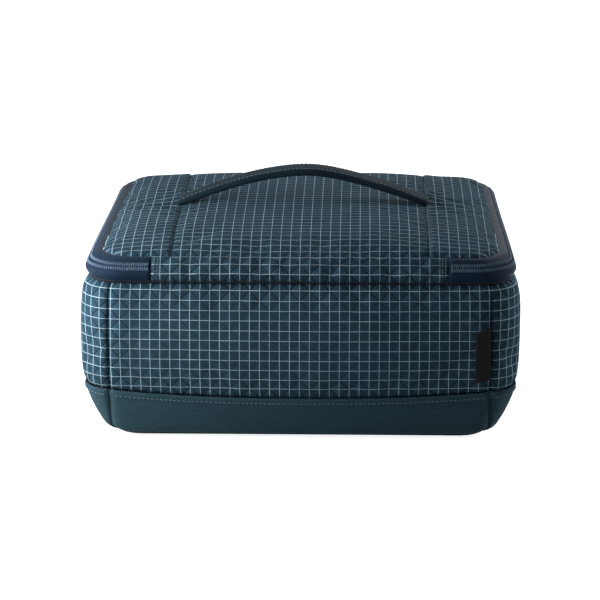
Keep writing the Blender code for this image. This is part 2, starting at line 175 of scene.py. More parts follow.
class CubeSizes(bpy.types.PropertyGroup):
    """Sizes of the cube and of its sewn details."""

    width: length("Width", "Across the widest part of the walls", 2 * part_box("right_wall")[1][0])
    depth: length("Depth", "Front to back at the widest part", size_of("left_wall", 1))
    rim: length("Rim height", "Floor to the zip band", 0.127)
    widest: length("Widest height", "Where the walls stand out most", 0.070)
    bulge: length("Bulge", "How far the wall falls in over the span", 0.0075)
    bulge_span: length("Bulge span", "Height over which the wall falls in", 0.057)
    roll: length("Roll height", "Below this the wall rolls under", 0.011)
    taper: length("Taper", "How far each side draws in towards the far end of the rim", 0.0070)
    shoulder: length("Shoulder", "How far the padded sides swell at the rim", 0.0050)
    tuck: length("Tuck", "How far the padded sides draw in at the floor", 0.0115)
    tuck_top: length("Tuck height", "Below this the padded sides draw in", 0.060)
    belly: length("Belly", "How far the middle of a wall swells", 0.0050)
    boot_sweep: length("Boot sweep", "Rise of the boot edge from its middle to the corner", 0.0044)
    boot_side: length("Boot side rise", "Further rise of the boot edge on the sides", 0.0020)
    corner: length("Corner radius", "Upright corners at the widest part", 0.023)
    boot: length("Boot height", "Top edge of the plain canvas", 0.037)
    band_rise: length("Band rise", "Height of the zip band", 0.0178)
    band_lean: length("Band lean", "How far the zip band leans in", 0.0115)
    rim_round: length("Rim rounding", "How much rounder the corners get up to the rim", 0.008)
    lid_corner: length("Lid corner radius", "Corners of the lid panels", 0.030)
    crown: length("Lid crown", "Rise of the lid above its edge", 0.011)
    lid_seam: length("Lid seam", "Lid seams from the middle", 0.0995)
    hinge_half: length("Half hinge length", "Hinge strip from the middle to one end", 0.114)
    cell: length("Grid cell", "Spacing of the pale threads", 0.00766)
    thread: length("Grid thread", "Width of a pale thread", 0.00040)
    cloth: length("Cloth thickness", "Outer cloth", 0.0010)
    seam_x: length("Upright seam", "Upright seams from the middle", 0.1470)
    # This reach also sets how far the painted shade and painted highlight of the cells show.
    relief_and_shade_reach: length("Relief reach", "How far the cell relief shows from a panel edge", 0.0260)
    rim_tuck: length("Rim tuck", "How deep the seam under the zip band is drawn in", 0.0066)
    seam_gap: length("Seam gap", "Between two panels at a seam", 0.0003)
    padding: length("Padding", "Foam behind the outer cloth", 0.0040)
    lining: length("Lining thickness", "Inner cloth", 0.0006)
    binding: length("Binding thickness", "Tape over the inside seams", 0.0012)
    stitch: length("Stitch length", "One topstitch", 0.0028)
    stitch_step: length("Stitch spacing", "From one topstitch to the next", 0.0036)
    stitch_radius: length("Stitch radius", "Thickness of the thread", 0.00048)
    grip_width: length("Handle width", "Across the strap at its middle", 0.018)
    grip_thick: length("Handle thickness", "Through the strap at its middle", 0.0065)
    end_width: length("Handle end width", "Across the strap at its seams", 0.0175)
    end_thick: length("Handle end thickness", "Through the strap at its seams", 0.0062)


class CubeColours(bpy.types.PropertyGroup):
    """Colours of the cube's cloths and trims."""

    grid: colour("Grid cloth", "Ripstop ground", (0.0175, 0.0415, 0.0625))
    thread: colour("Grid thread", "Pale ripstop threads", (0.34, 0.46, 0.52))
    boot: colour("Boot canvas", "Plain heavy canvas", (0.0150, 0.0355, 0.0470))
    tape: colour("Zip tape", "Laminated tape", (0.0065, 0.0150, 0.0300))
    teeth: colour("Zip coil", "Nylon coil", (0.060, 0.095, 0.140))
    strap: colour("Handle cloth", "Smooth strap cloth", (0.0055, 0.0125, 0.0185))
    lining: colour("Lining", "Inner cloth", (0.15, 0.165, 0.175))
    binding: colour("Binding", "Seam tape", (0.012, 0.014, 0.017))
    label: colour("Label", "Woven side label", (0.008, 0.008, 0.009))
    sewing: colour("Sewing thread", "Topstitching", (0.070, 0.110, 0.130))
    grid_sewing: colour("Grid sewing thread", "Stitching on the grid cloth", (0.018, 0.042, 0.062))
    metal: colour("Slider metal", "Lacquered zinc", (0.050, 0.055, 0.062))
    pull: colour("Pull rubber", "Moulded pulls", (0.018, 0.028, 0.046))


def sizes():
    return bpy.context.scene.cube_sizes


def colours():
    return bpy.context.scene.cube_colours


# Shader helpers


class Shader:
    """A Principled material under construction."""

    def __init__(self, name, roughness, sheen=0.0, metallic=0.0, gloss=0.06):
        self.material = bpy.data.materials.new(name)
        self.material.use_nodes = True
        self.tree = self.material.node_tree
        self.principled = self.tree.nodes["Principled BSDF"]
        self.principled.inputs["Roughness"].default_value = roughness
        self.principled.inputs["Sheen Weight"].default_value = sheen
        self.principled.inputs["Specular IOR Level"].default_value = gloss
        self.principled.inputs["Metallic"].default_value = metallic

    def node(self, kind, **settings):
        made = self.tree.nodes.new(kind)
        for key, value in settings.items():
            setattr(made, key, value)
        return made

    def plug(self, value, socket):
        """Links an output, or sets a plain value."""
        if isinstance(value, bpy.types.NodeSocket):
            self.tree.links.new(value, socket)
        else:
            socket.default_value = value

    def calc(self, operation, first, second=0.0):
        made = self.node("ShaderNodeMath", operation=operation)
        self.plug(first, made.inputs[0])
        self.plug(second, made.inputs[1])
        return made.outputs[0]

    def uv(self):
        """The two cloth directions, in metres."""
        split = self.node("ShaderNodeSeparateXYZ")
        self.tree.links.new(self.node("ShaderNodeUVMap").outputs["UV"], split.inputs[0])
        return split.outputs["X"], split.outputs["Y"]

    def place(self):
        return self.node("ShaderNodeTexCoord").outputs["Object"]

    def speckle(self, scale, detail=3.0):
        made = self.node("ShaderNodeTexNoise")
        made.inputs["Scale"].default_value = scale
        made.inputs["Detail"].default_value = detail
        self.plug(self.place(), made.inputs["Vector"])
        return made.outputs["Fac"]

    def remap(self, value, low, high, to_low, to_high):
        made = self.node("ShaderNodeMapRange")
        self.plug(value, made.inputs["Value"])
        made.inputs["From Min"].default_value = low
        made.inputs["From Max"].default_value = high
        made.inputs["To Min"].default_value = to_low
        made.inputs["To Max"].default_value = to_high
        return made.outputs["Result"]

    def mix(self, share, first, second):
        made = self.node("ShaderNodeMix", data_type="RGBA")
        self.plug(share, made.inputs["Factor"])
        self.plug(first if isinstance(first, bpy.types.NodeSocket) else (*first, 1.0), made.inputs[6])
        self.plug(second if isinstance(second, bpy.types.NodeSocket) else (*second, 1.0), made.inputs[7])
        return made.outputs[2]

    def near_line(self, value):
        """How far a value is from the nearest whole number."""
        part = self.calc("FRACT", self.calc("ADD", value, 0.5))
        return self.calc("ABSOLUTE", self.calc("SUBTRACT", part, 0.5))

    def wave(self, value, pitch):
        """A smooth wave along one direction, from -1 to 1."""
        return self.calc("SINE", self.calc("MULTIPLY", value, 2 * math.pi / pitch))

    def weave(self, across, up, pitch):
        """A plain weave: waves along both cloth directions, multiplied."""
        return self.calc("MULTIPLY", self.wave(across, pitch), self.wave(up, pitch))

    def bump(self, height, distance, strength=1.0):
        made = self.node("ShaderNodeBump")
        made.inputs["Distance"].default_value = distance
        made.inputs["Strength"].default_value = strength
        self.tree.links.new(height, made.inputs["Height"])
        before = self.principled.inputs["Normal"]
        if before.is_linked:
            self.tree.links.new(before.links[0].from_socket, made.inputs["Normal"])
        self.tree.links.new(made.outputs["Normal"], before)

    def paint(self, value):
        self.plug(value, self.principled.inputs["Base Color"])

    def mottle(self, tint, scale, detail, spread, tones):
        """Paints a cloudy mix of a darker and a lighter tone."""
        share = self.remap(self.speckle(scale, detail), *spread, 0.0, 1.0)
        self.paint(self.mix(share, shade(tint, tones[0]), shade(tint, tones[1])))

    def roughen(self, value):
        self.plug(value, self.principled.inputs["Roughness"])


def shade(tint, amount):
    return tuple(min(1.0, part * amount) for part in tint)


def grid_cloth_finish():
    """Ripstop: a fine weave, pale threads on a square grid, and a zigzag relief in the cells, with painted
    shade along the zigzag creases and a painted highlight on one side of each, strongest near a panel's
    edge.
    """
    tint = colours().grid
    made = Shader("grid_ripstop", 0.75, gloss=0.02)
    across, up = made.uv()
    cell = sizes().cell
    across_cells = made.calc("DIVIDE", across, cell)
    up_cells = made.calc("DIVIDE", up, cell)
    half = sizes().thread / cell / 2
    lines = []
    for value in (across_cells, up_cells):
        lines.append(made.remap(made.near_line(value), half * 0.6, half * 1.5, 1.0, 0.0))
    line = made.calc("MAXIMUM", *lines)
    fade = made.remap(made.speckle(55.0), 0.3, 0.7, 0.65, 1.0)
    row = made.calc("FLOOR", up_cells)
    zigzag = made.calc("PINGPONG", made.calc("ADD", across_cells, row), 1.0)
    facet = made.calc("SUBTRACT", zigzag, made.calc("FRACT", up_cells))
    weave = made.weave(across, up, 0.00055)
    tone = made.remap(made.speckle(14.0, 5.0), 0.3, 0.7, 0.0, 1.0)
    ground = made.mix(tone, shade(tint, 0.86), shade(tint, 1.16))
    ribs = made.wave(up, cell / 4)
    ground = made.mix(made.remap(ribs, -1.0, 1.0, 0.0, 0.28), ground, shade(tint, 0.45))
    # This mask sets the cell bump and also the painted crease shade and painted highlight.
    edge = made.node("ShaderNodeAttribute", attribute_name="relief_and_shade").outputs["Fac"]
    # Painted shade: the zigzag crease lines are darkened, most near a panel's edge, where grazing light
    # would shade them.
    painted_crease_shade = made.remap(made.calc("ABSOLUTE", facet), 0.03, 0.12, 1.0, 0.0)
    ground = made.mix(made.calc("MULTIPLY", painted_crease_shade, edge), ground, shade(tint, 0.12))
    # Painted highlight: one facet of each zigzag is lightened, most near a panel's edge, as if the light
    # fell on that side.
    painted_lit_facet = made.calc("MULTIPLY", made.remap(facet, -0.1, 0.1, 0.0, 0.25), edge)
    ground = made.mix(painted_lit_facet, ground, shade(tint, 1.6))
    made.paint(made.mix(made.calc("MULTIPLY", line, fade), ground, colours().thread))
    made.bump(weave, 0.00006, 0.7)
    made.bump(ribs, 0.00010, 0.6)
    made.bump(made.calc("MULTIPLY", made.calc("ABSOLUTE", facet), edge), 0.0010, 1.0)
    made.bump(line, 0.00012, 0.8)
    return made.material


def canvas_finish():
    """Heavy canvas: a coarse diagonal basket weave."""
    tint = colours().boot
    made = Shader("boot_canvas", 0.85, sheen=0.01)
    across, up = made.uv()
    weave = made.weave(across, up, 0.0023)
    worn = made.speckle(30.0, 6.0)
    tone = made.remap(weave, -0.8, 0.8, 0.0, 1.0)
    ground = made.mix(tone, shade(tint, 0.30), shade(tint, 2.2))
    made.paint(made.mix(made.remap(worn, 0.35, 0.75, 0.0, 0.35), ground, shade(tint, 1.5)))
    made.bump(weave, 0.00028, 0.9)
    made.bump(made.speckle(1400.0, 2.0), 0.00006, 0.6)
    return made.material


def ribbed_finish(name, tint, pitch, roughness, gloss=0.06):
    """Narrow woven tape: ribs across its length and a fine grain."""
    made = Shader(name, roughness, sheen=0.01, gloss=gloss)
    across, up = made.uv()
    ribs = made.wave(made.calc("ADD", across, made.calc("MULTIPLY", up, 0.6)), pitch)
    fine = made.wave(up, pitch * 0.7)
    tone = made.remap(made.calc("MULTIPLY", ribs, fine), -0.9, 0.9, 0.0, 1.0)
    cloudy = made.remap(made.speckle(24.0, 4.0), 0.3, 0.7, 0.0, 0.5)
    made.paint(made.mix(cloudy, made.mix(tone, shade(tint, 0.75), shade(tint, 1.3)), shade(tint, 1.25)))
    made.bump(ribs, 0.00010, 0.7)
    made.bump(fine, 0.00006, 0.5)
    return made.material


def smooth_strap_finish():
    """Tightly woven strap cloth with a faint grain."""
    tint = colours().strap
    made = Shader("strap_cloth", 0.65, sheen=0.01, gloss=0.03)
    across, up = made.uv()
    weave = made.weave(across, up, 0.0007)
    made.mottle(tint, 40.0, 5.0, (0.3, 0.7), (0.85, 1.3))
    made.bump(weave, 0.00008, 0.8)
    made.bump(made.speckle(260.0, 3.0), 0.00012, 0.5)
    return made.material


def lining_finish():
    tint = colours().lining
    made = Shader("lining_weave", 0.75, sheen=0.05)
    across, up = made.uv()
    weave = made.weave(across, up, 0.0008)
    made.mottle(tint, 18.0, 5.0, (0.3, 0.7), (0.88, 1.12))
    made.bump(weave, 0.00007, 0.7)
    made.bump(made.speckle(60.0, 3.0), 0.0006, 0.5)
    return made.material


def thread_finish(name, tint):
    """Twisted sewing thread or nylon coil."""
    made = Shader(name, 0.5, sheen=0.03)
    made.mottle(tint, 900.0, 2.0, (0.35, 0.65), (0.75, 1.25))
    made.bump(made.speckle(2600.0, 2.0), 0.00008, 0.7)
    return made.material


def metal_finish():
    tint = colours().metal
    made = Shader("slider_zinc", 0.36, metallic=1.0, gloss=0.5)
    made.mottle(tint, 700.0, 4.0, (0.4, 0.65), (0.8, 1.5))
    made.roughen(made.remap(made.speckle(450.0, 4.0), 0.3, 0.7, 0.26, 0.48))
    made.bump(made.speckle(1500.0, 3.0), 0.00003, 0.5)
    return made.material


def rubber_finish():
    tint = colours().pull
    made = Shader("pull_rubber", 0.55)
    made.mottle(tint, 500.0, 4.0, (0.35, 0.7), (0.85, 1.3))
    made.bump(made.speckle(2200.0, 3.0), 0.00006, 0.7)
    return made.material


FINISHES = {
    "grid": grid_cloth_finish,
    "canvas": canvas_finish,
    "tape": lambda: ribbed_finish("zip_tape_weave", colours().tape, 0.0011, 0.42, 0.02),
    "binding": lambda: ribbed_finish("binding_weave", colours().binding, 0.0012, 0.7),
    "label": lambda: ribbed_finish("label_weave", colours().label, 0.0006, 0.66),
    "strap": smooth_strap_finish,
    "lining": lining_finish,
    "sewing": lambda: thread_finish("sewing_thread", colours().sewing),
    "grid_sewing": lambda: thread_finish("grid_sewing_thread", colours().grid_sewing),
    "teeth": lambda: thread_finish("coil_nylon", colours().teeth),
    "metal": metal_finish,
    "rubber": rubber_finish,
}
made_finishes = {}


def finish(name):
    """One material for each finish, made when it is first asked for."""
    if name not in made_finishes:
        made_finishes[name] = FINISHES[name]()
    return made_finishes[name]


# The cube's form: an outline carried up a profile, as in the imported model


class Place:
    """One height of the profile: how far out it stands and which way it faces."""

    def __init__(self, outset, height, out, up, radius):
        self.outset = outset
        self.height = height
        self.out = out
        self.up = up
        self.radius = max(radius, SMALLEST_RADIUS)

    def sunk(self, depth):
        return Place(
            self.outset - depth * self.out,
            self.height - depth * self.up,
            self.out,
            self.up,
            self.radius - depth * self.out,
        )

    def half(self):
        return sizes().width / 2 + self.outset + side_shift(self.height), sizes().depth / 2 + self.outset


def smooth(share):
    share = min(1.0, max(0.0, share))
    return share * share * (3 - 2 * share)


def side_shift(height):
    """How the padded left and right sides swell at the shoulder and draw in at the foot."""
    s = sizes()
    foot = max(0.0, 1 - height / s.tuck_top)
    return s.shoulder * smooth((height - s.widest) / (s.rim - s.widest)) - s.tuck * foot**2


def wall_at(height):
    s = sizes()
    share = (height - s.widest) / s.bulge_span
    facing = Vector((1.0, 2 * s.bulge * share / s.bulge_span)).normalized()
    outset = -s.bulge * share**2
    rounding = s.rim_round * smooth((height - s.widest) / (s.rim - s.widest))
    return Place(outset, height, facing.x, facing.y, s.corner + outset * CORNER_KEEP + rounding)


def roll_radius():
    return sizes().roll / (1 + wall_at(sizes().roll).up)


def roll_at(angle):
    turn = wall_at(sizes().roll)
    radius = roll_radius()
    outset = turn.outset - radius * turn.out + radius * math.cos(angle)
    corner = sizes().corner + outset * CORNER_KEEP
    return Place(outset, radius * (1 - math.sin(angle)), math.cos(angle), -math.sin(angle), corner)


def roll_top():
    return math.asin(-wall_at(sizes().roll).up)


def boot_edge(side, across):
    """Height of the boot's top edge, which sweeps up towards the corners and round the sides."""
    s = sizes()
    if side in ("front", "back"):
        return s.boot + s.boot_sweep * abs(2 * across - 1) ** 2.5
    return s.boot + s.boot_sweep + s.boot_side * smooth(min(across, 1 - across) / corner_share())


def roll_length():
    return (BASE_SEAM - roll_top()) * roll_radius()


def boot_at(share, edge):
    """From the base seam round the roll and up to the boot's top edge."""
    along = share * (roll_length() + edge - sizes().roll)
    if along < roll_length():
        return roll_at(BASE_SEAM - along / roll_radius())
    return wall_at(sizes().roll + along - roll_length())


def boot_length():
    return roll_length() + sizes().boot - sizes().roll


def upper_wall_at(share, edge):
    return wall_at(edge + (sizes().rim - edge) * share)


def whole_wall_at(share):
    """From the base seam to the rim."""
    return boot_at(share, sizes().rim)


def band_length():
    return math.hypot(sizes().band_rise, sizes().band_lean)


def band_at(share):
    s = sizes()
    rim = wall_at(s.rim)
    run = band_length()
    return Place(
        rim.outset - s.band_lean * share,
        s.rim + s.band_rise * share,
        s.band_rise / run,
        s.band_lean / run,
        rim.radius + (s.lid_corner - rim.radius) * share,
    )


def upright_seam(place):
    """X of the upright seam at this height, and how far round the corner that is."""
    half_x = place.half()[0]
    straight = half_x - place.radius
    x = max(straight, min(sizes().seam_x, half_x - 0.3 * place.radius))
    return x, math.asin(min(1.0, (x - straight) / place.radius))


def straight_side(share, place):
    half_x, half_y = place.half()
    straight = half_x - place.radius
    x = (upright_seam(place)[0] - sizes().seam_gap / 2) * (2 * share - 1)
    past = abs(x) - straight
    if past <= 0:
        return Vector((x, -half_y)), Vector((0, -1))
    angle = math.asin(past / place.radius)
    facing = Vector((math.copysign(math.sin(angle), x), -math.cos(angle)))
    return Vector((math.copysign(straight, x), place.radius - half_y)) + facing * place.radius, facing


def corner_share():
    """How much of a side panel's length each of its two corners takes."""
    arc = sizes().corner * math.pi / 2
    return arc / (2 * arc + sizes().depth - 2 * sizes().corner)


def cornered_side(share, place):
    half_x, half_y = place.half()
    turn = corner_share()
    reach = half_y - place.radius
    if share < turn or share > 1 - turn:
        front = share < turn
        sweep = math.radians(90) - upright_seam(place)[1]
        part = share / turn - 1 if front else (share - 1 + turn) / turn
        facing = Vector((math.cos(sweep * part), math.sin(sweep * part)))
        centre = Vector((half_x - place.radius, -reach if front else reach))
        return centre + facing * place.radius, facing
    along = (share - turn) / (1 - 2 * turn)
    return Vector((half_x, reach * (2 * along - 1))), Vector((1, 0))


def turned(side_point):
    """The same side on the far side of the cube."""

    def opposite(share, place):
        point, facing = side_point(share, place)
        return -point, -facing

    return opposite


SIDES = {
    "front": straight_side,
    "right": cornered_side,
    "back": turned(straight_side),
    "left": turned(cornered_side),
}


def side_length(side):
    s = sizes()
    if side in ("front", "back"):
        return s.width - 2 * s.corner
    return s.depth - 2 * s.corner + s.corner * math.pi


def loop_points(place, start=0.0):
    """The outline as (point, facing) pairs, from this X on the front right round to its mirror."""
    half_x, half_y = place.half()
    r = place.radius
    points = [(Vector((start, -half_y)), Vector((0, -1)))]
    corners = ((1, -1, -90), (1, 1, 0), (-1, 1, 90), (-1, -1, 180))
    for side_x, side_y, first in corners:
        centre = Vector((side_x * (half_x - r), side_y * (half_y - r)))
        for i in range(CORNER_STEPS + 1):
            angle = math.radians(first + 90 * i / CORNER_STEPS)
            facing = Vector((math.cos(angle), math.sin(angle)))
            points.append((centre + facing * r, facing))
    points.append((Vector((-start, -half_y)), Vector((0, -1))))
    return points


class Loop:
    """An outline that is looked up by its share of the way along."""

    def __init__(self, place, start=0.0):
        self.place = place
        self.points = loop_points(place, start)
        self.ends = [0.0]
        for a, b in zip(self.points, self.points[1:]):
            self.ends.append(self.ends[-1] + (b[0] - a[0]).length)

    def at(self, share):
        """(point, facing) there."""
        along = min(max(share, 0.0), 1.0) * self.ends[-1]
        i = min(max(bisect.bisect_left(self.ends, along), 1), len(self.points) - 1)
        step = self.ends[i] - self.ends[i - 1]
        part = (along - self.ends[i - 1]) / step if step else 0.0
        first, second = self.points[i - 1], self.points[i]
        return first[0].lerp(second[0], part), first[1].lerp(second[1], part).normalized()


def loop_rows(place_at, start=0.0):
    """Looks outlines up by height, and keeps each once it is worked out."""
    kept = {}

    def row(up):
        key = round(up, 5)
        if key not in kept:
            kept[key] = Loop(place_at(up), start)
        return kept[key]

    return row


def tapered(point):
    """Draws the sides in towards the far end of the rim, where the lid is cut narrower."""
    s = sizes()
    beyond = max(0.0, abs(point.x) - s.lid_seam) / (s.width / 2 - s.lid_seam)
    amount = s.taper * smooth(point.y / s.depth + 0.5) * smooth(point.z / s.rim)
    return Vector((point.x - math.copysign(amount * beyond, point.x), point.y, point.z))


def raised(point, facing, place, lift):
    """A point of the outline at its height, moved this far out along the surface's own normal."""
    flat = point + facing * place.out * lift
    return tapered(Vector((flat.x, flat.y, place.height + place.up * lift)))


def seam_dip(distance, depth, reach):
    return -depth * math.exp(-((distance / reach) ** 2))


def ripple(x, y, z, scale, amount):
    return amount * noise.noise(Vector((x, y, z)) * scale)


# Mesh helpers


def new_object(name, mesh_data, look):
    mesh = bpy.data.meshes.new(name)
    mesh_data.to_mesh(mesh)
    mesh_data.free()
    mesh.shade_smooth()
    mesh.materials.append(look)
    made = bpy.data.objects.new(name, mesh)
    bpy.context.scene.collection.objects.link(made)
    return made


def edge_relief_and_shade(cloth_uv, across, up):
    """1 at a sheet's edge, falling to a little in its middle: how strongly the grid's cell relief, its
    painted shade and its painted highlight show.
    """
    u, v = cloth_uv(across, up)
    from_sides = min(abs(u - cloth_uv(end, up)[0]) for end in (0, 1))
    from_ends = min(abs(v - cloth_uv(across, end)[1]) for end in (0, 1))
    return 0.32 + 0.68 * (1 - smooth(min(from_sides, from_ends) / sizes().relief_and_shade_reach))


def mapped_grid(name, look, columns, rows, point, cloth_uv, closed=False):
    """A sheet: a grid whose points go where point(across, up) says, with its cloth directions as UVs."""
    bm = bmesh.new()
    bmesh.ops.create_grid(bm, x_segments=columns, y_segments=rows, size=0.5)
    layer = bm.loops.layers.uv.new("cloth")
    relief_and_shade = bm.verts.layers.float.new("relief_and_shade")
    shares = {v: (v.co.x + 0.5, v.co.y + 0.5) for v in bm.verts}
    for face in bm.faces:
        for loop in face.loops:
            loop[layer].uv = cloth_uv(*shares[loop.vert])
    for vert, (across, up) in shares.items():
        vert.co = point(across, up)
        vert[relief_and_shade] = edge_relief_and_shade(cloth_uv, across, up)
    if closed:
        bmesh.ops.remove_doubles(bm, verts=bm.verts, dist=1e-6)
    return new_object(name, bm, look)


def thicken(obj, thickness, offset=-1.0):
    solid = obj.modifiers.new("cloth thickness", "SOLIDIFY")
    solid.thickness = thickness
    solid.offset = offset
    solid.use_even_offset = False


def swell(obj, pressure, slack, most):
    """Puffs a panel between its sewn edges: cloth with a little slack, pushed from behind."""
    scene = bpy.context.scene
    bm = bmesh.new()
    bm.from_mesh(obj.data)
    edge = [v.index for v in bm.verts if v.is_boundary]
    bm.free()
    obj.vertex_groups.new(name="sewn").add(edge, 1.0, "REPLACE")
    start = [v.co.copy() for v in obj.data.vertices]
    cloth = obj.modifiers.new("swell", "CLOTH")
    cloth.settings.quality = 5
    cloth.settings.mass = 0.12
    cloth.settings.vertex_group_mass = "sewn"
    cloth.settings.tension_stiffness = 25
    cloth.settings.compression_stiffness = 25
    cloth.settings.bending_stiffness = 0.6
    cloth.settings.shrink_min = -slack
    cloth.settings.use_pressure = True
    cloth.settings.uniform_pressure_force = pressure
    cloth.settings.effector_weights.gravity = 0
    cloth.collision_settings.use_collision = False
    cloth.point_cache.frame_start = 1
    cloth.point_cache.frame_end = SWELL_FRAMES
    for number in range(1, SWELL_FRAMES + 1):
        scene.frame_set(number)
    shape = obj.evaluated_get(bpy.context.evaluated_depsgraph_get()).data
    ends = [v.co.copy() for v in shape.vertices]
    obj.modifiers.remove(cloth)
    obj.vertex_groups.clear()
    for vert, before, after in zip(obj.data.vertices, start, ends):
        step = after - before
        vert.co = before + step * min(1.0, most / max(step.length, 1e-9))
    scene.frame_set(1)


def put(obj, body, slot, *nodes):
    """Rides a piece on its body and hides the solids it stands for. The slot is not used."""
    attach(obj, body)
    if nodes:
        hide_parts(*nodes)


def bead():
    """One stitch's plain shape."""
    mesh = bpy.data.meshes.new("bead")
    bm = bmesh.new()
    bmesh.ops.create_uvsphere(bm, u_segments=6, v_segments=4, radius=1.0)
    bm.to_mesh(mesh)
    bm.free()
    return mesh


def stitches(name, look, path, size, radius):
    """A row of sewn stitches: path holds (point, direction along, direction out) for each."""
    shape = bead()
    bm = bmesh.new()
    for point, along, out in path:
        before = len(bm.verts)
        bm.from_mesh(shape)
        side = along.cross(out).normalized()
        for vert in list(bm.verts)[before:]:
            local = vert.co.copy()
            vert.co = point + along * local.z * size / 2 + side * local.y * radius + out * local.x * radius
    bpy.data.meshes.remove(shape)
    return new_object(name, bm, look)


def surface_path(point_at, count):
    """Places along a curve on a surface, with the direction along it and out of it, for stitches."""
    path = []
    for i in range(count):
        share = (i + 0.5) / count
        here, out = point_at(share)
        ahead = point_at(min(share + 0.2 / count, 1.0))[0]
        behind = point_at(max(share - 0.2 / count, 0.0))[0]
        path.append((here, (ahead - behind).normalized(), out))
    return path


def outward(facing, place):
    return Vector((facing.x * place.out, facing.y * place.out, place.up)).normalized()


# Walls and boot


def panel(name, look, side, place_at, columns, rows, lift, cloth_height):
    """One sewn panel of a side."""
    run = side_length(side)

    def point(across, up):
        place = place_at(up, boot_edge(side, across))
        flat, facing = SIDES[side](across, place)
        return raised(flat, facing, place, lift(across, up, flat, place))

    def cloth_uv(across, up):
        return (across - 0.5) * run, cloth_height(up, boot_edge(side, across))

    return mapped_grid(name, look, columns, rows, point, cloth_uv)


def belly(side, across, height):
    """Swell of a padded wall between its seams."""
    share = min(1.0, max(0.0, height / sizes().rim))
    full = sizes().belly if side in ("front", "back") else 0.0
    return full * (1 - (2 * across - 1) ** 2) * math.sin(math.pi * share) ** 0.6


def wall_lift(side):
    run = side_length(side)
    seed = list(SIDES).index(side) * 3.7

    def lift(across, up, flat, place):
        tall = sizes().rim - boot_edge(side, across)
        sides = min(across, 1 - across) * run
        top = (1 - up) * tall
        low = up * tall
        dip = seam_dip(sides, *UPRIGHT_DIP) + seam_dip(low, *WALL_FOOT_DIP)
        dip += seam_dip(top, sizes().rim_tuck, WALL_RIM_REACH)
        soft = ripple(flat.x, flat.y, place.height + seed, 17.0, 0.0011)
        soft += ripple(flat.x, flat.y, place.height, 45.0, 0.0004)
        calm = min(1.0, sides / 0.02, top / 0.02 + 0.2, low / 0.02)
        return dip + (soft - 0.0010) * calm + belly(side, across, place.height)

    return lift


def boot_lift(side):
    run = side_length(side)

    def lift(across, up, flat, place):
        tall = roll_length() + boot_edge(side, across) - sizes().roll
        sides = min(across, 1 - across) * run
        top = (1 - up) * tall
        edge = seam_dip(sides, *UPRIGHT_DIP) + seam_dip(up * tall, *BOOT_FOOT_DIP)
        fold = 0.0008 * min(1.0, top / 0.0012) + 0.0005 * math.exp(-(((top - 0.003) / 0.002) ** 2))
        return edge + fold + belly(side, across, place.height)

    return lift


class CUBE_OT_walls(bpy.types.Operator):
    """Sews the four grid-cloth walls"""

    bl_idname = "cube.walls"
    bl_label = "Walls"

    def execute(self, context):
        def cloth_height(up, edge):
            return edge + (sizes().rim - edge) * up - sizes().boot

        for side in SIDES:
            columns = round(side_length(side) / WALL_STEP)
            lift = wall_lift(side)
            name = f"{side}_wall_cloth"
            made = panel(name, finish("grid"), side, upper_wall_at, columns, 27, lift, cloth_height)
            swell(made, *WALL_SWELL)
            thicken(made, sizes().cloth)
            put(made, "body", "grid_cloth", f"{side}_wall", f"{side}_padding")
        return {"FINISHED"}


class CUBE_OT_boots(bpy.types.Operator):
    """Sews the four canvas boot panels, the base and the boot's topstitching"""

    bl_idname = "cube.boots"
    bl_label = "Boots and base"

    def execute(self, context):
        def cloth_height(up, edge):
            return up * (roll_length() + edge - sizes().roll)

        for side in SIDES:
            columns = round(side_length(side) / BOOT_STEP)
            lift = boot_lift(side)
            name = f"{side}_boot_canvas"
            made = panel(name, finish("canvas"), side, boot_at, columns, 22, lift, cloth_height)
            thicken(made, sizes().cloth)
            put(made, "body", "boot_cloth", f"{side}_boot")
            flat = (side_length(side), boot_length() + sizes().boot_sweep)
            self.topstitch(side)
        self.base()
        return {"FINISHED"}

    def topstitch(self, side):
        lift = boot_lift(side)

        def point_at(share):
            across = TOPSTITCH_END + (1 - 2 * TOPSTITCH_END) * share
            edge = boot_edge(side, across)
            up = 1 - TOPSTITCH_DROP / (roll_length() + edge - sizes().roll)
            place = boot_at(up, edge)
            flat, facing = SIDES[side](across, place)
            proud = lift(across, up, flat, place) + 0.0002
            return raised(flat, facing, place, proud), outward(facing, place)

        s = sizes()
        path = surface_path(point_at, round(side_length(side) / s.stitch_step))
        name = f"{side}_boot_topstitch"
        made = stitches(name, finish("sewing"), path, s.stitch, s.stitch_radius)
        put(made, "body", "boot_cloth")

    def base(self):
        """The base canvas: flat under the cube, then up round the roll to its seam."""
        under = math.radians(90)
        flat_share = 0.6
        floor = Loop(roll_at(under))

        def roll_place(up):
            return roll_at(under + (BASE_SEAM - under) * (up - flat_share) / (1 - flat_share))

        rows = loop_rows(roll_place)

        def point(across, up):
            if up <= flat_share:
                flat = floor.at(across)[0] * (up / flat_share)
                return Vector((flat.x, flat.y, 0.0))
            row = rows(up)
            flat, facing = row.at(across)
            return raised(flat, facing, row.place, seam_dip((1 - up) * 0.04, *BASE_DIP))

        def cloth_uv(across, up):
            spot = point(across, up)
            return spot.x, spot.y

        made = mapped_grid("base_canvas", finish("canvas"), 200, 20, point, cloth_uv, closed=True)
        thicken(made, sizes().cloth)
        put(made, "body", "boot_cloth", "base_panel")
        half_x, half_y = roll_at(BASE_SEAM).half()


# Zip band


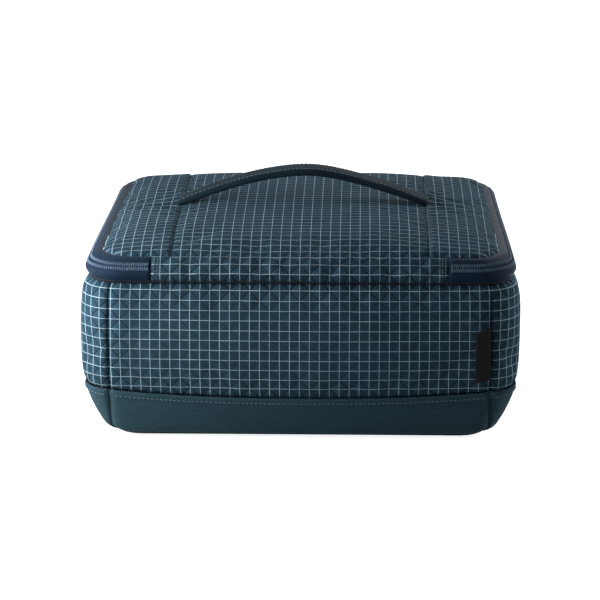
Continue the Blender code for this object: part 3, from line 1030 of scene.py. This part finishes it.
def band_lift(up, far=0.0):
    """The band stands proud between its seams, overhangs the rim and tucks in at both.

    Along the far side it lies flatter, with a shallow channel for the sliders.
    """
    run = band_length()
    puff = BAND_PUFF * math.sin(math.pi * min(max(up, 0.0), 1.0) ** 0.6) ** 0.6
    channel = -CHANNEL_DEPTH * math.exp(-(((up - 0.5) * run / CHANNEL_REACH) ** 2))
    swelling = puff * (1 - far) + (FAR_PUFF * puff + channel) * far
    rim_dip = seam_dip(up * run, sizes().rim_tuck, BAND_RIM_REACH)
    return swelling + rim_dip + seam_dip((1 - up) * run, *BAND_TOP_DIP)


def far_share(point, place):
    """0 along the sides, rising to 1 round the far corners and along the far side."""
    return smooth((point.y - place.half()[1] + place.radius) / (0.75 * place.radius))


def band_cut(low, high):
    """Width that the cloth of this share of the band was cut to, with what its seams take in."""
    steps = 40
    total = 0.0
    for i in range(steps):
        first, second = (low + (high - low) * (i + end) / steps for end in (0, 1))
        total += math.hypot((second - first) * band_length(), band_lift(second) - band_lift(first))
    return total


class CUBE_OT_zip(bpy.types.Operator):
    """Makes the two tapes, the coil's teeth along both and the hardware's finishes"""

    bl_idname = "cube.zip"
    bl_label = "Zip"

    def execute(self, context):
        slit = ZIP_SLIT / band_length()
        self.tape("lower", "body", 0.0, 0.5 - slit, "rim_tape_and_groove_shade")
        self.tape("upper", "lid", 0.5 + slit, 1.0, "lid_tape")
        self.teeth("lower_teeth", "body", -1)
        self.teeth("upper_teeth", "lid", 1)
        for side in ("left", "right"):
            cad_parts[f"zip_slider_{side}"].data.materials[0] = finish("metal")
            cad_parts[f"zip_pull_{side}"].data.materials[0] = finish("rubber")
        return {"FINISHED"}

    def tape(self, half, body, low, high, support):
        start = sizes().hinge_half + sizes().seam_gap
        rows = loop_rows(band_at, start)
        run = rows(0.5).ends[-1]

        def point(across, up):
            share = low + (high - low) * up
            row = rows(share)
            flat, facing = row.at(across)
            return raised(flat, facing, row.place, band_lift(share, far_share(flat, row.place)))

        def cloth_uv(across, up):
            return across * run, (low + (high - low) * up) * band_length()

        made = mapped_grid(f"{half}_tape", finish("tape"), 300, 10, point, cloth_uv)
        thicken(made, TAPE_THICK)
        put(made, body, "zip_tape", f"{half}_zip_tape", f"{half}_zip_coil")
        band_cut(low, high)

    def teeth(self, name, body, side):
        share = 0.5 + side * TOOTH_INSET / band_length()
        place = band_at(share)
        row = Loop(place, sizes().hinge_half + TEETH_START)
        count = round(row.ends[-1] / TOOTH_STEP)
        path = []
        for i in range(count):
            flat, facing = row.at((i + 0.5) / count)
            out = outward(facing, place)
            round_the_cube = Vector((-facing.y, facing.x, 0))
            up_band = out.cross(round_the_cube).normalized()
            slant = (up_band + round_the_cube * TOOTH_SLANT * side).normalized()
            lift = band_lift(share, far_share(flat, place)) + TOOTH_LIFT
            path.append((raised(flat, facing, place, lift), slant, out))
        put(stitches(name, finish("teeth"), path, TOOTH_LENGTH, TOOTH_RADIUS), body, "zip_coil")


class CUBE_OT_hinge(bpy.types.Operator):
    """Sews the grid-cloth hinge strip, its lining and its end stitching"""

    bl_idname = "cube.hinge"
    bl_label = "Hinge strip"

    def execute(self, context):
        half = sizes().hinge_half
        run = band_length()

        def lift(across, up):
            ends = min(across, 1 - across) * 2 * half
            soft = ripple(across * 2.3, up * 0.2, 1.7, 9.0, 0.0009)
            return band_lift(up) + (soft + 0.0004) * min(1.0, ends / 0.02)

        def point(across, up):
            place = band_at(up)
            flat = Vector((half * (2 * across - 1), -place.half()[1]))
            return raised(flat, Vector((0, -1)), place, lift(across, up))

        def cloth_uv(across, up):
            return half * (2 * across - 1), up * run + sizes().cell * 0.35

        made = mapped_grid("hinge_strip_cloth", finish("grid"), 76, 12, point, cloth_uv)
        swell(made, *STRIP_SWELL)
        thicken(made, sizes().cloth)
        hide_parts("hinge_strip")
        band_cut(0.0, 1.0)
        hinge = Vector((0, -wall_at(sizes().rim).half()[1], sizes().rim))
        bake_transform(made)

        def inner_point(across, up):
            share = STRIP_LINING_FROM + STRIP_LINING_SHARE * up
            place = band_at(share).sunk(sizes().cloth + 2 * sizes().seam_gap)
            flat = Vector((half * (2 * across - 1), -place.half()[1]))
            return raised(flat, Vector((0, -1)), place, 0.0)

        lining = mapped_grid("hinge_strip_lining", finish("lining"), 60, 4, inner_point, cloth_uv)
        thicken(lining, sizes().lining)
        put(lining, "lid", "lining_cloth", "hinge_lining")

        for side in (-1, 1):
            for inset in END_STITCH_INSETS:
                across = 0.5 + side * (0.5 - inset / (2 * half))

                def point_at(share, across=across):
                    up = 0.16 + 0.7 * share
                    return point(across, up), outward(Vector((0, -1)), band_at(up))

                path = surface_path(point_at, 6)
                name = f"hinge_stitch_{'right' if side > 0 else 'left'}_{round(inset * 10000)}"
                row = stitches(name, finish("sewing"), path, END_STITCH, sizes().stitch_radius)
                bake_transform(row)
        return {"FINISHED"}


# Lid


def lid_half():
    top = band_at(1.0)
    half_x, half_y = top.half()
    return half_x + LID_LIP, half_y + LID_LIP


def lid_reach(x):
    """How far the lid reaches in Y at this X, with its rounded corners."""
    half_x, half_y = lid_half()
    radius = sizes().lid_corner
    past = abs(x) - (half_x - radius)
    if past <= 0:
        return half_y
    return half_y - radius + math.sqrt(max(radius**2 - past**2, 0.0))


def lid_edge(x, y):
    """How far a point of the lid is from its rounded outline."""
    half_x, half_y = lid_half()
    radius = sizes().lid_corner
    past_x = abs(x) - (half_x - radius)
    past_y = abs(y) - (half_y - radius)
    if past_x > 0 and past_y > 0:
        return radius - math.hypot(past_x, past_y)
    return radius - max(past_x, past_y)


def lid_height(x, y):
    half_x, half_y = lid_half()
    across = 1 - min(abs(x) / half_x, 1.0) ** 4
    along = 1 - min(abs(y) / half_y, 1.0) ** 4
    return sizes().rim + sizes().band_rise + sizes().crown * across * along


def handle_crease(x, y):
    """Shallow pulls in the side panels that spread from the handle's ends."""
    past = abs(x) - sizes().lid_seam
    if past < 0:
        return 0.0
    angle = math.atan2(y, past + 0.02)
    fade = math.exp(-past / 0.04) * math.exp(-((y / 0.045) ** 2)) * min(1.0, past / 0.004)
    return 0.0017 * math.sin(angle * 13.0 + 0.8) * fade


def lid_point(x, y):
    """A point of the lid's cloth: crowned, dipped at its seams, with a folded edge beside each."""
    seam = sizes().lid_seam
    edge = max(0.0, lid_edge(x, y))
    past = abs(abs(x) - seam)
    fold = SEAM_FOLD * (1 - smooth((past - 0.0038) / 0.0018)) if abs(x) > seam else 0.0
    lift = seam_dip(past, *LID_SEAM_DIP) + seam_dip(edge, *LID_EDGE_DIP) + fold
    soft = ripple(x, y, 0.3, 15.0, 0.0012) + ripple(x, y, 2.1, 40.0, 0.0004)
    lift += soft * min(1.0, edge / 0.025, past / 0.02) + handle_crease(x, y)
    return tapered(Vector((x, y, lid_height(x, y) + lift)))


class CUBE_OT_lid(bpy.types.Operator):
    """Sews the lid's three panels, its lining and the seams between"""

    bl_idname = "cube.lid"
    bl_label = "Lid"

    def execute(self, context):
        seam = sizes().lid_seam
        half_x = lid_half()[0]
        gap = sizes().seam_gap / 2
        self.lid_panel("lid_middle_cloth", -seam + gap, seam - gap, 60, "lid_middle_panel", "lid_padding")
        self.lid_panel("lid_left_cloth", -half_x, -seam - gap, 26, "lid_left_panel")
        self.lid_panel("lid_right_cloth", seam + gap, half_x, 26, "lid_right_panel")
        for name, side in (("left", -1), ("right", 1)):
            self.seam_stitch(f"lid_stitch_{name}", side * (seam + SEAM_STITCH_INSET))
        self.lining()
        return {"FINISHED"}

    def seam_stitch(self, name, x):
        reach = lid_reach(x) - 0.006

        def point_at(share):
            return lid_point(x, reach * (2 * share - 1)) + Vector((0, 0, 0.0003)), Vector((0, 0, 1))

        path = surface_path(point_at, round(2 * reach / sizes().stitch_step))
        made = stitches(name, finish("grid_sewing"), path, sizes().stitch, sizes().stitch_radius * 0.65)
        put(made, "lid", "grid_cloth")

    def lid_panel(self, name, low, high, columns, *nodes):
        seam = sizes().lid_seam

        def column(across):
            """Columns crowd towards a rounded outer edge."""
            outer = -1 if low < -seam - 0.001 else 1 if high > seam + 0.001 else 0
            if outer < 0:
                return low + (high - low) * across**1.5
            if outer > 0:
                return low + (high - low) * (1 - (1 - across) ** 1.5)
            return low + (high - low) * across

        def point(across, up):
            x = column(across)
            return lid_point(x, lid_reach(x) * (2 * up - 1))

        def cloth_uv(across, up):
            spot = point(across, up)
            return spot.x, spot.y * 1.01

        made = mapped_grid(name, finish("grid"), columns, 84, point, cloth_uv)
        swell(made, *LID_SWELL)
        thicken(made, sizes().cloth)
        put(made, "lid", "grid_cloth", *nodes)

    def lining(self):
        half_x, half_y = lid_half()
        inset = LID_LINING_INSET
        drop = sizes().cloth + sizes().padding + 0.0012

        def point(across, up):
            x = (half_x - inset) * (2 * across - 1)
            y = (lid_reach(x) - inset) * (2 * up - 1)
            return tapered(Vector((x, y, lid_height(x, y) - drop + ripple(x, y, 5.0, 20.0, 0.0003))))

        def cloth_uv(across, up):
            return half_x * 2 * across, half_y * 2 * up

        made = mapped_grid("lid_inner_cloth", finish("lining"), 60, 54, point, cloth_uv)
        thicken(made, sizes().lining)
        put(made, "lid", "lining_cloth", "lid_lining")


# Inside


def loop_sheet(name, look, place_at, rows, up_length):
    """A sheet right round the cube."""
    loops = loop_rows(place_at)
    run = loops(0.5).ends[-1]

    def point(across, up):
        row = loops(up)
        flat, facing = row.at(across)
        return raised(flat, facing, row.place, 0.0)

    def cloth_uv(across, up):
        return across * run, up * up_length

    return mapped_grid(name, look, 260, rows, point, cloth_uv, closed=True)


class CUBE_OT_inside(bpy.types.Operator):
    """Makes the wall lining, the floor and the bindings"""

    bl_idname = "cube.inside"
    bl_label = "Inside"

    def execute(self, context):
        s = sizes()
        deep = s.cloth + s.padding + 2 * s.seam_gap
        top = 1 - 0.0022 / (boot_length() + s.rim - s.boot)
        made = loop_sheet(
            "wall_inner_cloth", finish("lining"), lambda up: whole_wall_at(up * top).sunk(deep), 30, s.rim
        )
        thicken(made, s.lining)
        put(made, "body", "lining_cloth", "wall_lining")
        run = Loop(wall_at(s.widest).sunk(deep)).ends[-1]
        tall = roll_length() + s.rim - s.roll
        self.floor(deep)
        self.bindings(deep)
        return {"FINISHED"}

    def floor(self, deep):
        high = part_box("floor_lining")[1]
        edge = Loop(whole_wall_at(0.0).sunk(deep + sizes().lining))
        turned_up = 0.86

        def point(across, up):
            flat = edge.at(across)[0] * up
            rise = (edge.place.height - high[2]) * smooth((up - turned_up) / (1 - turned_up))
            return Vector((flat.x, flat.y, high[2] + rise + ripple(flat.x, flat.y, 0.0, 12.0, 0.0003)))

        def cloth_uv(across, up):
            spot = edge.at(across)[0] * up
            return spot.x, spot.y

        made = mapped_grid("floor_inner_cloth", finish("lining"), 200, 20, point, cloth_uv, closed=True)
        thicken(made, sizes().lining, 1.0)
        put(made, "body", "lining_cloth", "floor_lining", "base_board")
        half_x, half_y = edge.place.half()

    def bindings(self, deep):
        s = sizes()
        rim = wall_at(s.rim)
        # The rim binding is real, but it is set out into the groove under the zip band, half the tuck
        # deep, so its near-black tape also stands in as painted shade along the groove.
        outer = s.rim_tuck / 2
        wrap = s.rim_tuck / 2 + s.cloth + s.seam_gap + s.binding
        lid_depth = LID_EDGE_DIP[0] + s.cloth + s.seam_gap + s.binding / 2
        run = band_length()

        def rim_place(up):
            height = s.rim + RIM_BINDING_WIDTH * (up - 0.5)
            return Place(rim.outset - outer, height, 1.0, 0.0, rim.radius - outer)

        def lid_place(up):
            return band_at((run - LID_BINDING_DROP + LID_BINDING_WIDTH * up) / run).sunk(lid_depth)

        for name, body, place_at, width, thickness, offset, node in (
            ("rim_tape_and_groove_shade", "body", rim_place, RIM_BINDING_WIDTH, wrap, -1.0, "rim_binding"),
            ("lid_tape", "lid", lid_place, LID_BINDING_WIDTH, s.binding, 0.0, "lid_binding"),
        ):
            made = loop_sheet(name, finish("binding"), place_at, 6, width)
            thicken(made, thickness, offset)
            put(made, body, "binding_tape", node)
        radius = s.binding
        seam = whole_wall_at(0.0).sunk(deep + s.lining + radius)

        def place_at(up):
            turn = 2 * math.pi * up
            out = radius * math.cos(turn)
            height = seam.height + radius * math.sin(turn)
            return Place(seam.outset + out, height, 1.0, 0.0, seam.radius + out)

        made = loop_sheet("floor_tape", finish("binding"), place_at, 10, 2 * math.pi * radius)
        put(made, "body", "binding_tape", "floor_binding")


# Handle and label


def strap_middle(x):
    """Height of the strap's middle line."""
    seam = sizes().lid_seam
    foot = lid_height(seam, 0.0) + 0.0016
    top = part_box("handle_cover")[1][2] - sizes().grip_thick / 2
    return foot + (top - foot) * (1 - ((x**2 + 0.0004) / (seam**2 + 0.0004)) ** 0.75)


def strap_fullness(x):
    return smooth((sizes().lid_seam - abs(x)) / STRAP_TAPER)


def strap_section(x, around):
    """A point of the strap's rounded section, from its outer edge round over the top."""
    s = sizes()
    full = strap_fullness(x)
    width = s.end_width + (s.grip_width - s.end_width) * full
    thick = s.end_thick + (s.grip_thick - s.end_thick) * full
    past = max(0.0, abs(x) - s.lid_seam) / STRAP_END
    blunt = math.sqrt(max(0.0, 1 - past**2))
    width *= blunt
    thick *= blunt
    turn = 2 * math.pi * around
    side = math.copysign(abs(math.cos(turn)) ** STRAP_SQUARE, math.cos(turn)) * width / 2
    rise = math.copysign(abs(math.sin(turn)) ** 0.75, math.sin(turn)) * thick / 2
    lean = 0.10 * side
    wander = ripple(x, side, 0.0, 30.0, 0.0004)
    return Vector((x, side, strap_middle(x) + rise + lean + wander))


class CUBE_OT_handle(bpy.types.Operator):
    """Makes the strap handle, its sewn ends and its stitching"""

    bl_idname = "cube.handle"
    bl_label = "Handle"

    def execute(self, context):
        tip = sizes().lid_seam + STRAP_END
        bend = GRIP_HALF
        grip = self.length("handle_grip_cloth", -bend, bend, 46)
        put(grip, "handle", "handle_cloth", "handle_cover", "handle_core")
        for row in self.stitch_rows("handle_stitch", -bend, bend):
            put(row, "handle", "handle_cloth")
        for name, side in (("left", -1), ("right", 1)):
            low, high = sorted((side * tip, side * bend))
            end = self.length(f"handle_end_{name}", low, high, 22)
            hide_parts(f"handle_anchor_{name}")
            low, high = sorted((side * sizes().lid_seam, side * bend))
            for piece in (end, *self.stitch_rows(f"handle_end_stitch_{name}", low, high)):
                self.twist(piece, side, tip - 0.005, bend + 0.001)
        return {"FINISHED"}

    def twist(self, piece, side, sewn, free):
        """Bakes a strap end's placement into its mesh; the end is not turned."""
        height = lid_height(sizes().lid_seam, 0.0)
        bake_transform(piece)

    def stitch_rows(self, name, low, high):
        """A row of stitches along each edge of the strap's top, between two places."""
        s = sizes()
        rows = []
        for edge, side in (("near", -1), ("far", 1)):

            def point_at(share, side=side):
                x = low + (high - low) * share
                width = s.end_width + (s.grip_width - s.end_width) * strap_fullness(x)
                inset = (1 - 2 * STRAP_STITCH_INSET / width) ** (1 / STRAP_SQUARE)
                around = math.acos(inset) / (2 * math.pi)
                around = 0.5 - around if side < 0 else around
                return strap_section(x, around), Vector((0, side * 0.25, 1)).normalized()

            path = surface_path(point_at, round((high - low) / STRAP_STITCH_STEP))
            radius = s.stitch_radius * 0.85
            rows.append(stitches(f"{name}_{edge}", finish("sewing"), path, STRAP_STITCH, radius))
        return rows

    def length(self, name, low, high, steps):
        def point(across, up):
            return strap_section(low + (high - low) * up, -across)

        def cloth_uv(across, up):
            return across * STRAP_GIRTH, low + (high - low) * up

        return mapped_grid(name, finish("strap"), 28, steps, point, cloth_uv, closed=True)


class CUBE_OT_label(bpy.types.Operator):
    """Sews the small folded label into the right front seam"""

    bl_idname = "cube.label"
    bl_label = "Label"

    def execute(self, context):
        low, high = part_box("side_label")

        def point(across, up):
            x = low[0] + (high[0] - low[0]) * across
            height = low[2] + (high[2] - low[2]) * up + 0.0028 * (across - 0.5)
            place = wall_at(height)
            free = 1 - across
            lift = 0.0009 + 0.0010 * free**2 + 0.0005 * math.sin(up * 5.0) * free
            seam = straight_side(1.0, place)[0].x
            share = min(1.0, 0.5 + x / (2 * seam))
            flat, facing = straight_side(share, place)
            return raised(flat, facing, place, lift + belly("front", share, height))

        def cloth_uv(across, up):
            return across * (high[0] - low[0]), up * (high[2] - low[2])

        made = mapped_grid("side_label_cloth", finish("label"), 10, 26, point, cloth_uv)
        thicken(made, 0.0007, 0.0)
        put(made, "body", "label_cloth", "side_label")
        return {"FINISHED"}


# Stage


def lamp(name, place, target, size, power):
    data = bpy.data.lights.new(name, "AREA")
    data.shape = "RECTANGLE"
    data.size, data.size_y = size
    data.energy = power
    made = bpy.data.objects.new(name, data)
    made.location = place
    made.visible_camera = False
    made.rotation_euler = (Vector(target) - Vector(place)).to_track_quat("-Z", "Y").to_euler()
    bpy.context.scene.collection.objects.link(made)


def seen_ray(tree):
    """1 for what the camera sees directly, in gloss or through glass, and 0 for light on the object."""
    ray = tree.nodes.new("ShaderNodeLightPath")
    seen = ray.outputs["Is Camera Ray"]
    for kind in ("Is Glossy Ray", "Is Transmission Ray"):
        either = tree.nodes.new("ShaderNodeMath")
        either.operation = "MAXIMUM"
        tree.links.new(seen, either.inputs[0])
        tree.links.new(ray.outputs[kind], either.inputs[1])
        seen = either.outputs[0]
    return seen


class CUBE_OT_stage(bpy.types.Operator):
    """Sets the pale floor, the soft lights and the camera"""

    bl_idname = "cube.stage"
    bl_label = "Stage"

    def execute(self, context):
        scene = context.scene
        scene.view_settings.view_transform = "Standard"
        self.floor()
        self.world(scene)
        for name, settings in LAMPS.items():
            lamp(name, *settings)
        self.camera(scene)
        return {"FINISHED"}

    def floor(self):
        bm = bmesh.new()
        bmesh.ops.create_grid(bm, x_segments=2, y_segments=2, size=FLOOR_REACH)
        bmesh.ops.translate(bm, vec=(0, 0, -FLOOR_DROP), verts=bm.verts)
        made = Shader("pale_floor", 0.9)
        made.paint((FLOOR_GREY, FLOOR_GREY, FLOOR_GREY, 1.0))
        made.principled.inputs["Emission Color"].default_value = (1, 1, 1, 1)
        glow = made.calc("MULTIPLY", seen_ray(made.tree), FLOOR_GLOW)
        made.plug(glow, made.principled.inputs["Emission Strength"])
        new_object("floor", bm, made.material)

    def world(self, scene):
        world = bpy.data.worlds.new("studio")
        world.use_nodes = True
        tree = world.node_tree
        soft = tree.nodes["Background"]
        soft.inputs["Color"].default_value = (1, 1, 1, 1)
        seen = tree.nodes.new("ShaderNodeMapRange")
        seen.inputs["To Min"].default_value = WORLD_LIGHT
        seen.inputs["To Max"].default_value = WORLD_SEEN
        tree.links.new(seen_ray(tree), seen.inputs["Value"])
        tree.links.new(seen.outputs["Result"], soft.inputs["Strength"])
        scene.world = world

    def camera(self, scene):
        data = bpy.data.cameras.new("camera")
        data.sensor_width = CAMERA_SENSOR
        data.lens = CAMERA_LENS
        made = bpy.data.objects.new("camera", data)
        level = math.cos(CAMERA_PITCH)
        away = Vector(
            (-math.sin(CAMERA_TURN) * level, -math.cos(CAMERA_TURN) * level, math.sin(CAMERA_PITCH))
        )
        made.location = Vector(CAMERA_AIM) + away * CAMERA_AWAY
        made.rotation_euler = (-away).to_track_quat("-Z", "Y").to_euler()
        scene.collection.objects.link(made)
        scene.camera = made


class CUBE_PT_panel(bpy.types.Panel):
    """Lists the cube's steps"""

    bl_idname = "CUBE_PT_panel"
    bl_label = "Packing cube"
    bl_space_type = "VIEW_3D"
    bl_region_type = "UI"
    bl_category = "Packing cube"

    def draw(self, context):
        for step in STEPS:
            self.layout.operator(step.bl_idname)


STEPS = (
    CUBE_OT_walls,
    CUBE_OT_boots,
    CUBE_OT_zip,
    CUBE_OT_hinge,
    CUBE_OT_lid,
    CUBE_OT_inside,
    CUBE_OT_handle,
    CUBE_OT_label,
    CUBE_OT_stage,
)
CLASSES = (CubeSizes, CubeColours, *STEPS, CUBE_PT_panel)


def register():
    for made in CLASSES:
        bpy.utils.register_class(made)
    bpy.types.Scene.cube_sizes = PointerProperty(type=CubeSizes)
    bpy.types.Scene.cube_colours = PointerProperty(type=CubeColours)


def unregister():
    del bpy.types.Scene.cube_colours
    del bpy.types.Scene.cube_sizes
    for made in reversed(CLASSES):
        bpy.utils.unregister_class(made)


def main():
    register()
    bpy.ops.cube.stage()
    bpy.ops.cube.walls()
    bpy.ops.cube.boots()
    bpy.ops.cube.zip()
    bpy.ops.cube.hinge()
    bpy.ops.cube.lid()
    bpy.ops.cube.inside()
    bpy.ops.cube.handle()
    bpy.ops.cube.label()


if __name__ == "__main__":
    main()
